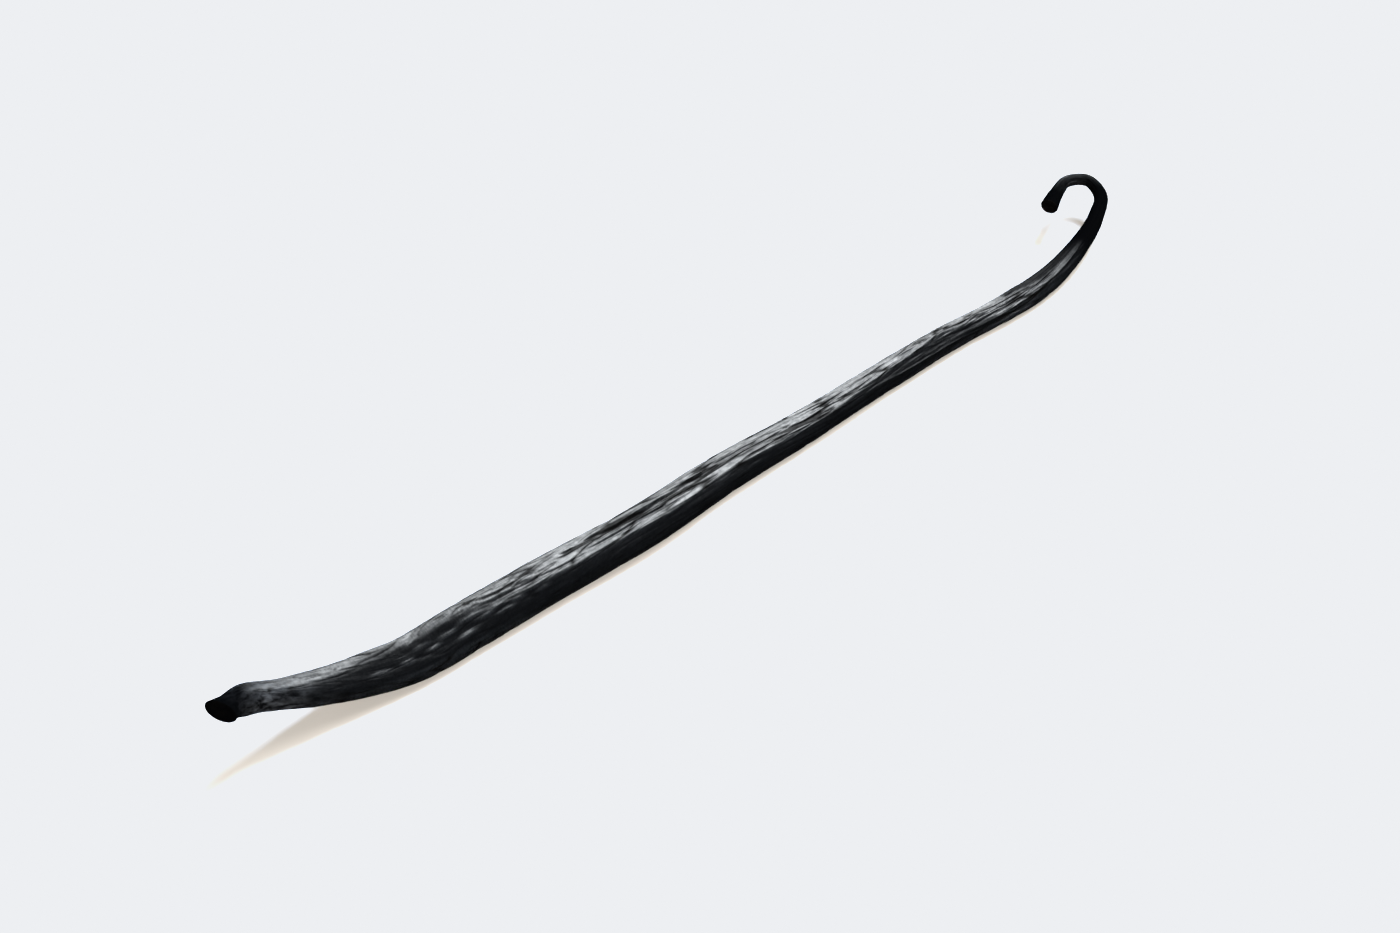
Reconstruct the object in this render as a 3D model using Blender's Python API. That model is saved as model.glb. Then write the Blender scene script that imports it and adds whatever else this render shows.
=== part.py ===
"""A cured vanilla pod, lying on a flat surface.

One solid: a long, slightly flattened pod that swells behind a blunt blossom end,
tapers towards the stem and turns over in a crook. Its skin has dried into long
folds. The part is in metres, +Z up, with the pod along +X and the surface at z = 0.
"""

import math

import bmesh
import bpy
import numpy as np

MM = 0.001

# Centre line of the pod in mm, chosen by hand: blossom end first, stem end last.
# The blossom end is lifted clear of the surface and the stem end turns over in a crook.
CENTRE_LINE = [
    (-82.3, -3.7, 12.2),
    (-77.6, -2.5, 10.3),
    (-72.6, -2.8, 7.9),
    (-67.1, -3.2, 5.6),
    (-61.6, -3.6, 4.0),
    (-55.6, -4.0, 2.8),
    (-44.6, -4.1, 2.5),
    (-30.6, -4.5, 2.5),
    (-15.6, -5.0, 2.4),
    (-0.6, -4.1, 2.3),
    (14.4, -4.1, 2.1),
    (32.4, -3.5, 1.9),
    (43.4, -3.3, 1.8),
    (54.4, -3.8, 1.7),
    (64.4, -3.4, 1.8),
    (71.7, -2.0, 2.9),
    (78.0, 0.3, 4.3),
    (81.3, 2.8, 5.3),
    (81.6, 5.8, 6.0),
    (78.8, 7.5, 6.3),
    (75.4, 6.6, 6.1),
    (72.7, 5.3, 5.9),
]

# Across the pod: distance from the blossom end, width and height in mm, and how far its
# three rounded edges stand out, as a share of its radius. The pod grew from three leaves.
SECTIONS = [
    (0.0, 4.0, 3.6, 0.00),
    (1.2, 3.8, 3.4, 0.00),
    (2.6, 3.6, 3.4, 0.00),
    (4.6, 4.3, 4.1, 0.01),
    (7.5, 4.2, 4.0, 0.02),
    (10.5, 4.4, 3.9, 0.03),
    (14.0, 5.0, 4.3, 0.04),
    (19.0, 5.6, 4.7, 0.08),
    (25.0, 6.4, 5.3, 0.12),
    (32.0, 7.2, 5.8, 0.14),
    (42.0, 7.4, 5.9, 0.11),
    (52.0, 7.3, 5.8, 0.04),
    (66.0, 6.9, 5.5, 0.02),
    (80.0, 6.5, 5.2, 0.02),
    (92.0, 5.8, 4.8, 0.02),
    (104.0, 5.1, 4.4, 0.02),
    (118.0, 4.8, 4.1, 0.03),
    (126.0, 4.6, 4.0, 0.04),
    (134.0, 4.2, 3.8, 0.04),
    (144.0, 4.4, 3.7, 0.03),
    (152.0, 3.7, 3.4, 0.02),
    (160.0, 2.8, 2.8, 0.01),
    (166.0, 2.3, 2.3, 0.00),
    (172.5, 1.9, 1.9, 0.00),
    (176.5, 2.1, 2.1, 0.00),
    (180.0, 2.7, 2.7, 0.00),
]

# Angles round the pod are in degrees: 0 faces the pod's right side, 90 faces up.
UPPER_EDGE = 97.0

# Depth of the small folds in the skin: distance from the blossom end and depth, in mm.
# They stand in for the skin's thin wrinkles as well, which are finer than the rings.
FOLD_DEPTHS = [
    (0.0, 0.03),
    (4.0, 0.08),
    (12.0, 0.12),
    (28.0, 0.18),
    (48.0, 0.26),
    (64.0, 0.34),
    (90.0, 0.36),
    (120.0, 0.34),
    (142.0, 0.28),
    (156.0, 0.14),
    (181.0, 0.06),
]

# Each family of small folds: how many run side by side round the pod, its share of the
# depth, how far it swings round the pod in radians, and the length of one swing in mm.
FOLD_FAMILIES = [
    (5, 0.36, 0.8, 83.0),
    (8, 0.34, 1.1, 52.0),
    (13, 0.30, 1.5, 31.0),
]

# How the whole skin twists to and fro: size in radians and length of one swing in mm.
TWISTS = [(0.24, 74.0), (0.10, 27.0)]

# The long furrows one by one: where each starts and ends along the pod in mm, its angle
# at either end, its depth in mm and its half width in degrees. A negative depth is a crest.
LONG_FURROWS = [
    (14, 50, 101, 104, -0.22, 8),
    (16, 27, 114, 110, -0.16, 13),
    (16, 52, 70, 66, 0.42, 26),
    (18, 42, 130, 124, 0.18, 9),
    (34, 113, 60, 53, -0.16, 8),
    (42, 104, 42, 42, 0.08, 15),
    (56, 87, 101, 91, 0.42, 6),
    (66, 126, -14, -5, 0.12, 9),
    (96, 119, 122, 107, 0.28, 7),
    (102, 152, 14, 5, 0.12, 8),
    (105, 128, 58, 86, -0.24, 8),
    (118, 142, 84, 88, -0.20, 9),
    (120, 135, 98, 101, 0.26, 6),
    (129, 152, 114, 106, 0.30, 7),
    (138, 158, 38, 66, -0.18, 7),
    (38, 97, 149, 158, 0.42, 8),
    (58, 122, 180, 171, 0.46, 9),
    (30, 76, 194, 204, 0.30, 9),
    (84, 152, 201, 190, 0.42, 9),
    (50, 102, 224, 215, 0.34, 8),
    (104, 150, 223, 231, 0.36, 9),
]
FURROW_WANDER = 2.5
FURROW_WANDER_LENGTH = 17.0

# Where the pod presses on the surface, its folds are ironed out below this height,
# given as a fraction of the half height measured down from the middle.
PRESSED_FROM = 0.55
PRESSED_WIDTH = 0.35

# Three spots of the belly bear the pod's weight: where each starts and ends along the pod.
# Between them the belly keeps a slight clearance from the surface. All are in mm.
RESTING_SPOTS = [(34.0, 42.0), (68.0, 75.0), (136.0, 143.0)]
BELLY_CLEARANCE = 0.07

# Spacing of the rings along the pod: distance from the blossom end and spacing, in mm.
RING_SPACINGS = [(0.0, 0.8), (6.0, 1.3), (14.0, 2.2), (30.0, 3.4), (140.0, 3.4), (152.0, 1.6), (181.0, 1.25)]
SIDES = 64

# The worn ends: radius as a fraction of the last ring's, and how far out it lies in mm.
BLOSSOM_SCAR = [(0.95, 0.16), (0.82, 0.26), (0.62, 0.12), (0.40, 0.02), (0.18, 0.10)]
BLOSSOM_SCAR_TIP = 0.16
STEM_CUT = [(0.94, 0.12), (0.80, 0.18), (0.55, 0.12), (0.25, 0.06)]
STEM_CUT_TIP = 0.04

# The blossom end is cut on a slant: how much shorter its short side is and how far
# along the pod the slant reaches, in mm, and the angle that the short side faces.
BLOSSOM_SLANT = 2.0
SLANT_REACH = 3.4
SLANT_SIDE = -38.0

SKIN_COLOUR = (0.014, 0.011, 0.009, 1.0)
SKIN_ROUGHNESS = 0.42
SKIN_METALLIC = 0.0


def smooth_curve(stations, values, at):
    """Value at each place on a smooth curve through the stations."""
    slopes = np.gradient(values, stations, axis=0)
    i = np.clip(np.searchsorted(stations, at, side="right") - 1, 0, len(stations) - 2)
    span = stations[i + 1] - stations[i]
    t = (at - stations[i]) / span
    if values.ndim == 2:
        t = t[:, None]
        span = span[:, None]
    start = values[i] * (1 + 2 * t) + span * slopes[i] * t
    end = values[i + 1] * (3 - 2 * t) - span * slopes[i + 1] * (1 - t)
    return start * (1 - t) ** 2 + end * t ** 2


def from_table(rows, column, at):
    """Read one column of a table of stations, smoothly, at each distance."""
    table = np.array(rows)
    return smooth_curve(table[:, 0], table[:, column], at)


def centre_line():
    """Dense points along the centre line and their distance from the blossom end."""
    points = np.array(CENTRE_LINE)
    chords = np.linalg.norm(np.diff(points, axis=0), axis=1)
    stations = np.concatenate(([0.0], np.cumsum(chords)))
    dense = smooth_curve(stations, points, np.linspace(0.0, stations[-1], 3000))
    steps = np.linalg.norm(np.diff(dense, axis=0), axis=1)
    return dense, np.concatenate(([0.0], np.cumsum(steps)))


def ring_distances(length):
    """Distances of the rings: close together at the ends and round the crook."""
    spacings = np.array(RING_SPACINGS)
    distances = [0.0]
    while distances[-1] < length:
        step = np.interp(distances[-1], spacings[:, 0], spacings[:, 1])
        distances.append(distances[-1] + step)
    return np.array(distances) * length / distances[-1]


def ring_frames(distances):
    """Centre, direction, sideways and upward unit vectors of each ring."""
    dense, along = centre_line()
    directions = np.gradient(dense, along, axis=0)
    centres = np.stack([np.interp(distances, along, dense[:, k]) for k in range(3)], axis=1)
    forward = np.stack([np.interp(distances, along, directions[:, k]) for k in range(3)], axis=1)
    forward /= np.linalg.norm(forward, axis=1)[:, None]
    side = np.cross(forward, (0.0, 0.0, 1.0))
    side /= np.linalg.norm(side, axis=1)[:, None]
    return centres, forward, side, np.cross(side, forward)


def small_folds(distance, angle):
    """How far the skin sinks in the small folds, as a share of their depth."""
    turned = angle
    for size, swing in TWISTS:
        turned = turned + size * np.sin(2 * math.pi * distance / swing + swing)
    sunk = 0.0
    for count, share, size, swing in FOLD_FAMILIES:
        wander = size * np.sin(2 * math.pi * distance / swing + count)
        wander = wander + 0.4 * size * np.sin(2 * math.pi * distance / (0.37 * swing) + 2 * angle)
        sunk = sunk + share * (1 - np.abs(np.sin((count * turned + wander) / 2)))
    return sunk


def long_furrows(distance, angle):
    """How far the skin sinks in the long furrows, in mm."""
    sunk = 0.0
    for start, end, from_angle, to_angle, depth, half_width in LONG_FURROWS:
        t = np.clip((distance - start) / (end - start), 0, 1)
        wander = FURROW_WANDER * np.sin(2 * math.pi * distance / FURROW_WANDER_LENGTH + start)
        middle = np.radians(from_angle + (to_angle - from_angle) * t + wander)
        aside = np.sin((angle - middle) / 2) / math.sin(math.radians(half_width) / 2)
        sunk = sunk + depth * np.sin(math.pi * t) ** 0.7 * np.exp(-aside ** 2)
    return sunk


def skin_points(distances):
    """Points of every ring, as an array of rings by sides by coordinates."""
    angle = 2 * math.pi * np.arange(SIDES) / SIDES
    at = distances[:, None]
    centres, forward, side, up = ring_frames(distances)
    half_width = from_table(SECTIONS, 1, distances)[:, None] / 2
    half_height = from_table(SECTIONS, 2, distances)[:, None] / 2
    edges = from_table(SECTIONS, 3, distances)[:, None] * np.cos(3 * (angle - math.radians(UPPER_EDGE)))
    pressed = np.clip((-np.sin(angle) - PRESSED_FROM) / PRESSED_WIDTH, 0, 1)
    lying = np.clip(half_height - centres[:, 2:3], 0, 0.1) / 0.1
    sunk = from_table(FOLD_DEPTHS, 1, distances)[:, None] * small_folds(at, angle) + long_furrows(at, angle)
    sunk = sunk * (1 - pressed * lying)
    across = (half_width * (1 + edges) - sunk) * np.cos(angle)
    above = (half_height * (1 + edges) - sunk) * np.sin(angle)
    points = centres[:, None] + across[..., None] * side[:, None] + above[..., None] * up[:, None]
    shortened = BLOSSOM_SLANT * (1 + np.cos(angle - math.radians(SLANT_SIDE))) / 2
    shortened = shortened * np.clip(1 - at / SLANT_REACH, 0, 1)
    return points + shortened[..., None] * forward[:, None], forward


def worn_end(rim, outward, rings, tip):
    """Rings that close an end, shrinking from its rim, and the point in their middle."""
    centre = rim.mean(axis=0)
    closed = [centre + scale * (rim - centre) + out * outward for scale, out in rings]
    return closed, centre + tip * outward


def build_pod():
    """Loft the rings into one closed skin whose belly rests on its three flat spots."""
    _, along = centre_line()
    distances = ring_distances(along[-1])
    points, forward = skin_points(distances)
    for distance, ring in zip(distances, points):
        rests = any(start < distance < end for start, end in RESTING_SPOTS)
        ring[:, 2] = np.maximum(ring[:, 2], 0.0 if rests else BELLY_CLEARANCE)
    scar, scar_tip = worn_end(points[0], -forward[0], BLOSSOM_SCAR, BLOSSOM_SCAR_TIP)
    cut, cut_tip = worn_end(points[-1], forward[-1], STEM_CUT, STEM_CUT_TIP)
    rings = scar[::-1] + list(points) + cut

    pod = bmesh.new()
    loops = [[pod.verts.new(point * MM) for point in ring] for ring in rings]
    blossom_point = pod.verts.new(scar_tip * MM)
    stem_point = pod.verts.new(cut_tip * MM)
    for lower, upper in zip(loops, loops[1:]):
        for i in range(SIDES):
            j = (i + 1) % SIDES
            pod.faces.new((lower[i], upper[i], upper[j], lower[j]))
    for i in range(SIDES):
        j = (i + 1) % SIDES
        pod.faces.new((blossom_point, loops[0][i], loops[0][j]))
        pod.faces.new((stem_point, loops[-1][j], loops[-1][i]))
    bmesh.ops.recalc_face_normals(pod, faces=pod.faces)
    bmesh.ops.triangulate(pod, faces=pod.faces)
    mesh = bpy.data.meshes.new("vanilla_pod")
    pod.to_mesh(mesh)
    pod.free()
    mesh.shade_smooth()
    return mesh


def skin_material():
    """The oily, almost black skin."""
    material = bpy.data.materials.new("pod_skin")
    material.use_nodes = True
    shader = material.node_tree.nodes["Principled BSDF"]
    shader.inputs["Base Color"].default_value = SKIN_COLOUR
    shader.inputs["Roughness"].default_value = SKIN_ROUGHNESS
    shader.inputs["Metallic"].default_value = SKIN_METALLIC
    return material


for existing in list(bpy.data.objects):
    bpy.data.objects.remove(existing)

collection = bpy.data.collections.new("vanilla_bean")
bpy.context.scene.collection.children.link(collection)
pod_object = bpy.data.objects.new("vanilla_pod", build_pod())
pod_object.data.materials.append(skin_material())
collection.objects.link(pod_object)
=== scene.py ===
"""The finish of a cured vanilla pod: its wrinkled, oily skin, its two worn ends and a plain studio.

The pod's run, its sections and its long furrows repeat the solid's own tables, in mm. Its small folds
are shallower here, because the wrinkles too fine for the solid are modelled on top of them.
"""

import math

import bpy
import numpy as np
from mathutils import Matrix, Vector


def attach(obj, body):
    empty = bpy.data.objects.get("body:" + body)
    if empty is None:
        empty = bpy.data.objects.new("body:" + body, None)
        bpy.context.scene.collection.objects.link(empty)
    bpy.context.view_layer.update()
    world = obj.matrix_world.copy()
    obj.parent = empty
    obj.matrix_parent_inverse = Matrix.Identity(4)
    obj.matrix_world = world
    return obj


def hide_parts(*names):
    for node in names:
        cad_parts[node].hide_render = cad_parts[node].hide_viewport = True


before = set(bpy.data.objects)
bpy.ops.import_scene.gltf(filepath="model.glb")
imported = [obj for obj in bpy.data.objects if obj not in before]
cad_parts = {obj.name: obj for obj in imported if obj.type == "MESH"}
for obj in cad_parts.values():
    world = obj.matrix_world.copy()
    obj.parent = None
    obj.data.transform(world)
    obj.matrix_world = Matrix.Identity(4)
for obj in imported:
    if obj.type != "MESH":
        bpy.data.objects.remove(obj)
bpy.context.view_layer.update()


# The pod is the fruit of a climbing orchid, picked green and cured until it is nearly black. It grew
# from three joined leaves, so its section has three soft edges. It lies on its belly, with the blunt
# blossom end lifted and the thin stem end turned over in a crook.
MM = 0.001

# Centre line in mm, blossom end first.
CENTRE_LINE = [
    (-82.3, -3.7, 12.2),
    (-77.6, -2.5, 10.3),
    (-72.6, -2.8, 7.9),
    (-67.1, -3.2, 5.6),
    (-61.6, -3.6, 4.0),
    (-55.6, -4.0, 2.8),
    (-44.6, -4.1, 2.5),
    (-30.6, -4.5, 2.5),
    (-15.6, -5.0, 2.4),
    (-0.6, -4.1, 2.3),
    (14.4, -4.1, 2.1),
    (32.4, -3.5, 1.9),
    (43.4, -3.3, 1.8),
    (54.4, -3.8, 1.7),
    (64.4, -3.4, 1.8),
    (71.7, -2.0, 2.9),
    (78.0, 0.3, 4.3),
    (81.3, 2.8, 5.3),
    (81.6, 5.8, 6.0),
    (78.8, 7.5, 6.3),
    (75.4, 6.6, 6.1),
    (72.7, 5.3, 5.9),
]

# Distance from the blossom end, width and height in mm, and how far the three edges stand
# out, as a share of the radius.
SECTIONS = [
    (0.0, 4.0, 3.6, 0.00),
    (1.2, 3.8, 3.4, 0.00),
    (2.6, 3.6, 3.4, 0.00),
    (4.6, 4.3, 4.1, 0.01),
    (7.5, 4.2, 4.0, 0.02),
    (10.5, 4.4, 3.9, 0.03),
    (14.0, 5.0, 4.3, 0.04),
    (19.0, 5.6, 4.7, 0.08),
    (25.0, 6.4, 5.3, 0.12),
    (32.0, 7.2, 5.8, 0.14),
    (42.0, 7.4, 5.9, 0.11),
    (52.0, 7.3, 5.8, 0.04),
    (66.0, 6.9, 5.5, 0.02),
    (80.0, 6.5, 5.2, 0.02),
    (92.0, 5.8, 4.8, 0.02),
    (104.0, 5.1, 4.4, 0.02),
    (118.0, 4.8, 4.1, 0.03),
    (126.0, 4.6, 4.0, 0.04),
    (134.0, 4.2, 3.8, 0.04),
    (144.0, 4.4, 3.7, 0.03),
    (152.0, 3.7, 3.4, 0.02),
    (160.0, 2.8, 2.8, 0.01),
    (166.0, 2.3, 2.3, 0.00),
    (172.5, 1.9, 1.9, 0.00),
    (176.5, 2.1, 2.1, 0.00),
    (180.0, 2.7, 2.7, 0.00),
]

# Angles round the pod are in degrees: 0 faces its right side, 90 faces up.
UPPER_EDGE = 97.0

# Depth of the small folds: distance from the blossom end and depth, in mm.
FOLD_DEPTHS = [
    (0.0, 0.03),
    (4.0, 0.06),
    (12.0, 0.08),
    (28.0, 0.10),
    (48.0, 0.12),
    (64.0, 0.15),
    (90.0, 0.16),
    (120.0, 0.20),
    (142.0, 0.20),
    (156.0, 0.10),
    (181.0, 0.05),
]

# Families of small folds: how many run side by side, share of the depth, how far they
# swing round the pod in radians, and the length of one swing in mm.
FOLD_FAMILIES = [
    (5, 0.36, 0.8, 83.0),
    (8, 0.34, 1.1, 52.0),
    (13, 0.30, 1.5, 31.0),
]

# Each family also swings on a shorter wave: its size and length as shares of the long swing's.
SHORT_SWING_SIZE = 0.4
SHORT_SWING_LENGTH = 0.37

# How the whole skin twists to and fro: size in radians and length of one swing in mm.
TWISTS = [(0.24, 74.0), (0.10, 27.0)]

# The long furrows: start and end in mm, angle at either end, depth in mm and half width
# in degrees. A negative depth is a crest.
LONG_FURROWS = [
    (14, 50, 101, 104, -0.22, 8),
    (16, 27, 114, 110, -0.16, 13),
    (16, 52, 70, 66, 0.42, 26),
    (18, 42, 130, 124, 0.18, 9),
    (34, 113, 60, 53, -0.16, 8),
    (42, 104, 42, 42, 0.08, 15),
    (56, 87, 101, 91, 0.42, 6),
    (66, 126, -14, -5, 0.12, 9),
    (96, 119, 122, 107, 0.28, 7),
    (102, 152, 14, 5, 0.12, 8),
    (105, 128, 58, 86, -0.24, 8),
    (118, 142, 84, 88, -0.20, 9),
    (120, 135, 98, 101, 0.26, 6),
    (129, 152, 114, 106, 0.30, 7),
    (138, 158, 38, 66, -0.18, 7),
    (38, 97, 149, 158, 0.42, 8),
    (58, 122, 180, 171, 0.46, 9),
    (30, 76, 194, 204, 0.30, 9),
    (84, 152, 201, 190, 0.42, 9),
    (50, 102, 224, 215, 0.34, 8),
    (104, 150, 223, 231, 0.36, 9),
]

# Thin furrows and crests too narrow for the solid, in the same form.
THIN_FURROWS = [
    (22, 60, 8, 14, 0.07, 5),
    (24, 39, 105, 98, 0.10, 2.5),
    (33, 49, 113, 103, 0.12, 2.5),
    (43, 52, 74, 72, 0.10, 3),
    (47, 60, 70, 68, 0.12, 3),
    (52, 66, 97, 92, 0.14, 3),
    (57, 86, 101, 91, 0.26, 3.5),
    (58, 73, 76, 73, 0.26, 3.2),
    (62, 84, 67, 66, 0.12, 2.5),
    (69, 79, 74, 73, 0.22, 3),
    (74, 92, 112, 89, 0.26, 3.5),
    (78, 97, 78, 84, 0.14, 2.5),
    (90, 112, 47, 42, -0.10, 3),
    (112, 134, 37, 17, -0.17, 4),
    (130, 143, 30, 42, -0.14, 5),
    (84, 98, 129, 122, 0.18, 2.5),
    (88, 105, 119, 112, 0.18, 2.5),
    (94, 113, 129, 119, 0.18, 2.5),
    (101, 118, 135, 124, 0.20, 2.5),
    (96, 118, 78, 88, 0.07, 2.5),
    (99, 109, 89, 91, 0.32, 3.5),
    (108, 117, 105, 107, 0.26, 4),
    (108, 122, 74, 84, 0.12, 2.5),
    (110, 127, 101, 109, 0.18, 2.5),
    (118, 134, 113, 104, 0.20, 2.5),
    (125, 139, 88, 97, 0.18, 2.5),
    (117, 125, 94, 96, 0.28, 3.5),
    (136, 150, 50, 74, 0.16, 3.5),
    (139, 153, 64, 84, 0.16, 3.5),
    (142, 154, 80, 93, 0.16, 3.5),
]

# How far the furrows wander round the pod, in degrees, and the length of one wander in mm.
FURROW_WANDER = 2.5
FURROW_WANDER_LENGTH = 17.0

# The power that shapes a furrow's depth from end to end: the smaller, the blunter its ends.
FURROW_TAPER = 0.7

# Small marks one by one: distance from the blossom end in mm, angle, half length and half width
# in mm, and depth in mm. A negative depth is a raised fleck.
SMALL_MARKS = [
    (24.5, 40, 1.4, 0.35, -0.05),
    (28.6, 43, 1.1, 0.42, -0.13),
    (29.5, 88, 1.2, 0.30, -0.04),
    (31.4, 66, 1.5, 0.30, -0.08),
    (32.8, 46, 1.3, 0.38, -0.11),
    (35.2, 60, 1.9, 0.34, -0.12),
    (37.9, 33, 1.3, 0.40, -0.12),
    (39.6, 69, 2.1, 0.36, -0.13),
    (41.4, 53, 1.6, 0.34, -0.10),
    (43.6, 61, 1.6, 0.34, -0.11),
    (44.5, 42, 1.5, 0.34, -0.11),
    (46.8, 52, 1.4, 0.32, -0.10),
    (49.4, 58, 1.8, 0.32, -0.10),
    (50.5, 45, 1.3, 0.30, -0.08),
    (48.0, 76, 1.8, 0.30, 0.10),
    (53.6, 86, 0.6, 0.35, -0.06),
    (55.5, 92, 0.85, 0.55, 0.16),
    (55.5, 84, 0.80, 0.20, -0.07),
    (55.4, 100, 0.80, 0.20, -0.07),
    (57.6, 82, 0.50, 0.35, 0.10),
    (71.7, 72, 0.55, 0.42, 0.20),
    (82.0, 43, 1.9, 0.28, -0.08),
]

# Where the belly lies on the surface its folds are ironed out: the height below the middle
# where that starts and the height over which it grows, as shares of the half height, and how
# far in mm the round belly would reach below the surface where they are ironed out in full.
PRESSED_FROM = 0.55
PRESSED_WIDTH = 0.35
PRESSED_DEPTH = 0.1

# The three spots that bear the weight: start and end along the pod, the clearance between
# them, and how far past each spot its wrinkles are still ironed out, in mm.
RESTING_SPOTS = [(34.0, 42.0), (68.0, 75.0), (136.0, 143.0)]
BELLY_CLEARANCE = 0.07
SPOT_FADE = 3.0

# The blossom end is cut on a slant: how much shorter its short side is, how far along the
# pod the slant reaches, in mm, and the angle that the short side faces.
BLOSSOM_SLANT = 2.0
SLANT_REACH = 3.4
SLANT_SIDE = -38.0

# Distance from the blossom end and spacing of the mesh's rings there, in mm, its points round
# each ring, and the steps in which the centre line's length is measured.
RING_SPACINGS = [(0.0, 0.34), (6.0, 0.38), (14.0, 0.43), (150.0, 0.46), (160.0, 0.42), (181.0, 0.36)]
SIDES = 204
CENTRE_STEPS = 3000


def smooth_curve(stations, values, at):
    """Value at each place on a smooth curve through the stations."""
    slopes = np.gradient(values, stations, axis=0)
    i = np.clip(np.searchsorted(stations, at, side="right") - 1, 0, len(stations) - 2)
    span = stations[i + 1] - stations[i]
    t = (at - stations[i]) / span
    if values.ndim == 2:
        t = t[:, None]
        span = span[:, None]
    start = values[i] * (1 + 2 * t) + span * slopes[i] * t
    end = values[i + 1] * (3 - 2 * t) - span * slopes[i + 1] * (1 - t)
    return start * (1 - t) ** 2 + end * t ** 2


def from_table(rows, column, at):
    """Read one column of a table of stations, smoothly, at each distance."""
    table = np.array(rows)
    return smooth_curve(table[:, 0], table[:, column], at)


def centre_line():
    """Dense points along the centre line and their distance from the blossom end."""
    points = np.array(CENTRE_LINE)
    chords = np.linalg.norm(np.diff(points, axis=0), axis=1)
    stations = np.concatenate(([0.0], np.cumsum(chords)))
    dense = smooth_curve(stations, points, np.linspace(0.0, stations[-1], CENTRE_STEPS))
    steps = np.linalg.norm(np.diff(dense, axis=0), axis=1)
    return dense, np.concatenate(([0.0], np.cumsum(steps)))


def ring_distances(length):
    """Distances of the rings: close together at the ends and round the crook."""
    spacings = np.array(RING_SPACINGS)
    distances = [0.0]
    while distances[-1] < length:
        step = np.interp(distances[-1], spacings[:, 0], spacings[:, 1])
        distances.append(distances[-1] + step)
    return np.array(distances) * length / distances[-1]


def ring_frames(distances):
    """Centre, direction, sideways and upward unit vectors of each ring."""
    dense, along = centre_line()
    directions = np.gradient(dense, along, axis=0)
    centres = np.stack([np.interp(distances, along, dense[:, k]) for k in range(3)], axis=1)
    forward = np.stack([np.interp(distances, along, directions[:, k]) for k in range(3)], axis=1)
    forward /= np.linalg.norm(forward, axis=1)[:, None]
    side = np.cross(forward, (0.0, 0.0, 1.0))
    side /= np.linalg.norm(side, axis=1)[:, None]
    return centres, forward, side, np.cross(side, forward)


def twisted(distance, angle):
    """The angle on the skin after the pod's slow twist to and fro."""
    for size, swing in TWISTS:
        angle = angle + size * np.sin(2 * math.pi * distance / swing + swing)
    return angle


def small_folds(distance, angle):
    """How far the skin sinks in the small folds, as a share of their depth."""
    turned = twisted(distance, angle)
    sunk = 0.0
    for count, share, size, swing in FOLD_FAMILIES:
        wander = size * np.sin(2 * math.pi * distance / swing + count)
        short_swing = 2 * math.pi * distance / (SHORT_SWING_LENGTH * swing) + 2 * angle
        wander = wander + SHORT_SWING_SIZE * size * np.sin(short_swing)
        sunk = sunk + share * (1 - np.abs(np.sin((count * turned + wander) / 2)))
    return sunk


def long_furrows(distance, angle):
    """How far the skin sinks in the long and the thin furrows, in mm."""
    sunk = 0.0
    for start, end, from_angle, to_angle, depth, half_width in LONG_FURROWS + THIN_FURROWS:
        t = np.clip((distance - start) / (end - start), 0, 1)
        wander = FURROW_WANDER * np.sin(2 * math.pi * distance / FURROW_WANDER_LENGTH + start)
        middle = np.radians(from_angle + (to_angle - from_angle) * t + wander)
        aside = np.sin((angle - middle) / 2) / math.sin(math.radians(half_width) / 2)
        sunk = sunk + depth * np.sin(math.pi * t) ** FURROW_TAPER * np.exp(-aside ** 2)
    return sunk


def small_marks(distance, angle, radius):
    """How far the skin sinks in the small marks, in mm, and how far each place is in a raised fleck."""
    sunk = 0.0
    fleck = 0.0
    for middle, towards, half_length, half_width, depth in SMALL_MARKS:
        aside = 2 * np.sin((angle - math.radians(towards)) / 2) * radius / half_width
        share = np.exp(-aside ** 2 - ((distance - middle) / half_length) ** 2)
        sunk = sunk + depth * share
        if depth < 0:
            fleck = np.maximum(fleck, share)
    return sunk, fleck


def skin_points(distances, angle):
    """Points of every ring, how much each is pressed flat, and the pod's direction there."""
    at = distances[:, None]
    centres, forward, side, up = ring_frames(distances)
    half_width = from_table(SECTIONS, 1, distances)[:, None] / 2
    half_height = from_table(SECTIONS, 2, distances)[:, None] / 2
    edges = from_table(SECTIONS, 3, distances)[:, None] * np.cos(3 * (angle - math.radians(UPPER_EDGE)))
    pressed = np.clip((-np.sin(angle) - PRESSED_FROM) / PRESSED_WIDTH, 0, 1)
    pressed = pressed * np.clip(half_height - centres[:, 2:3], 0, PRESSED_DEPTH) / PRESSED_DEPTH
    sunk = from_table(FOLD_DEPTHS, 1, distances)[:, None] * small_folds(at, angle) + long_furrows(at, angle)
    sunk = (sunk + small_marks(at, angle, half_height)[0]) * (1 - pressed)
    across = (half_width * (1 + edges) - sunk) * np.cos(angle)
    above = (half_height * (1 + edges) - sunk) * np.sin(angle)
    points = centres[:, None] + across[..., None] * side[:, None] + above[..., None] * up[:, None]
    shortened = BLOSSOM_SLANT * (1 + np.cos(angle - math.radians(SLANT_SIDE))) / 2
    shortened = shortened * np.clip(1 - at / SLANT_REACH, 0, 1)
    points = points + shortened[..., None] * forward[:, None]
    resting = np.zeros_like(at)
    for start, end in RESTING_SPOTS:
        beyond = np.maximum(start - at, at - end)
        resting = np.maximum(resting, np.clip(1 - beyond / SPOT_FADE, 0, 1))
    points[..., 2] = np.maximum(points[..., 2], np.where(resting < 1, BELLY_CLEARANCE, 0.0))
    return points, pressed * resting, forward


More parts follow.
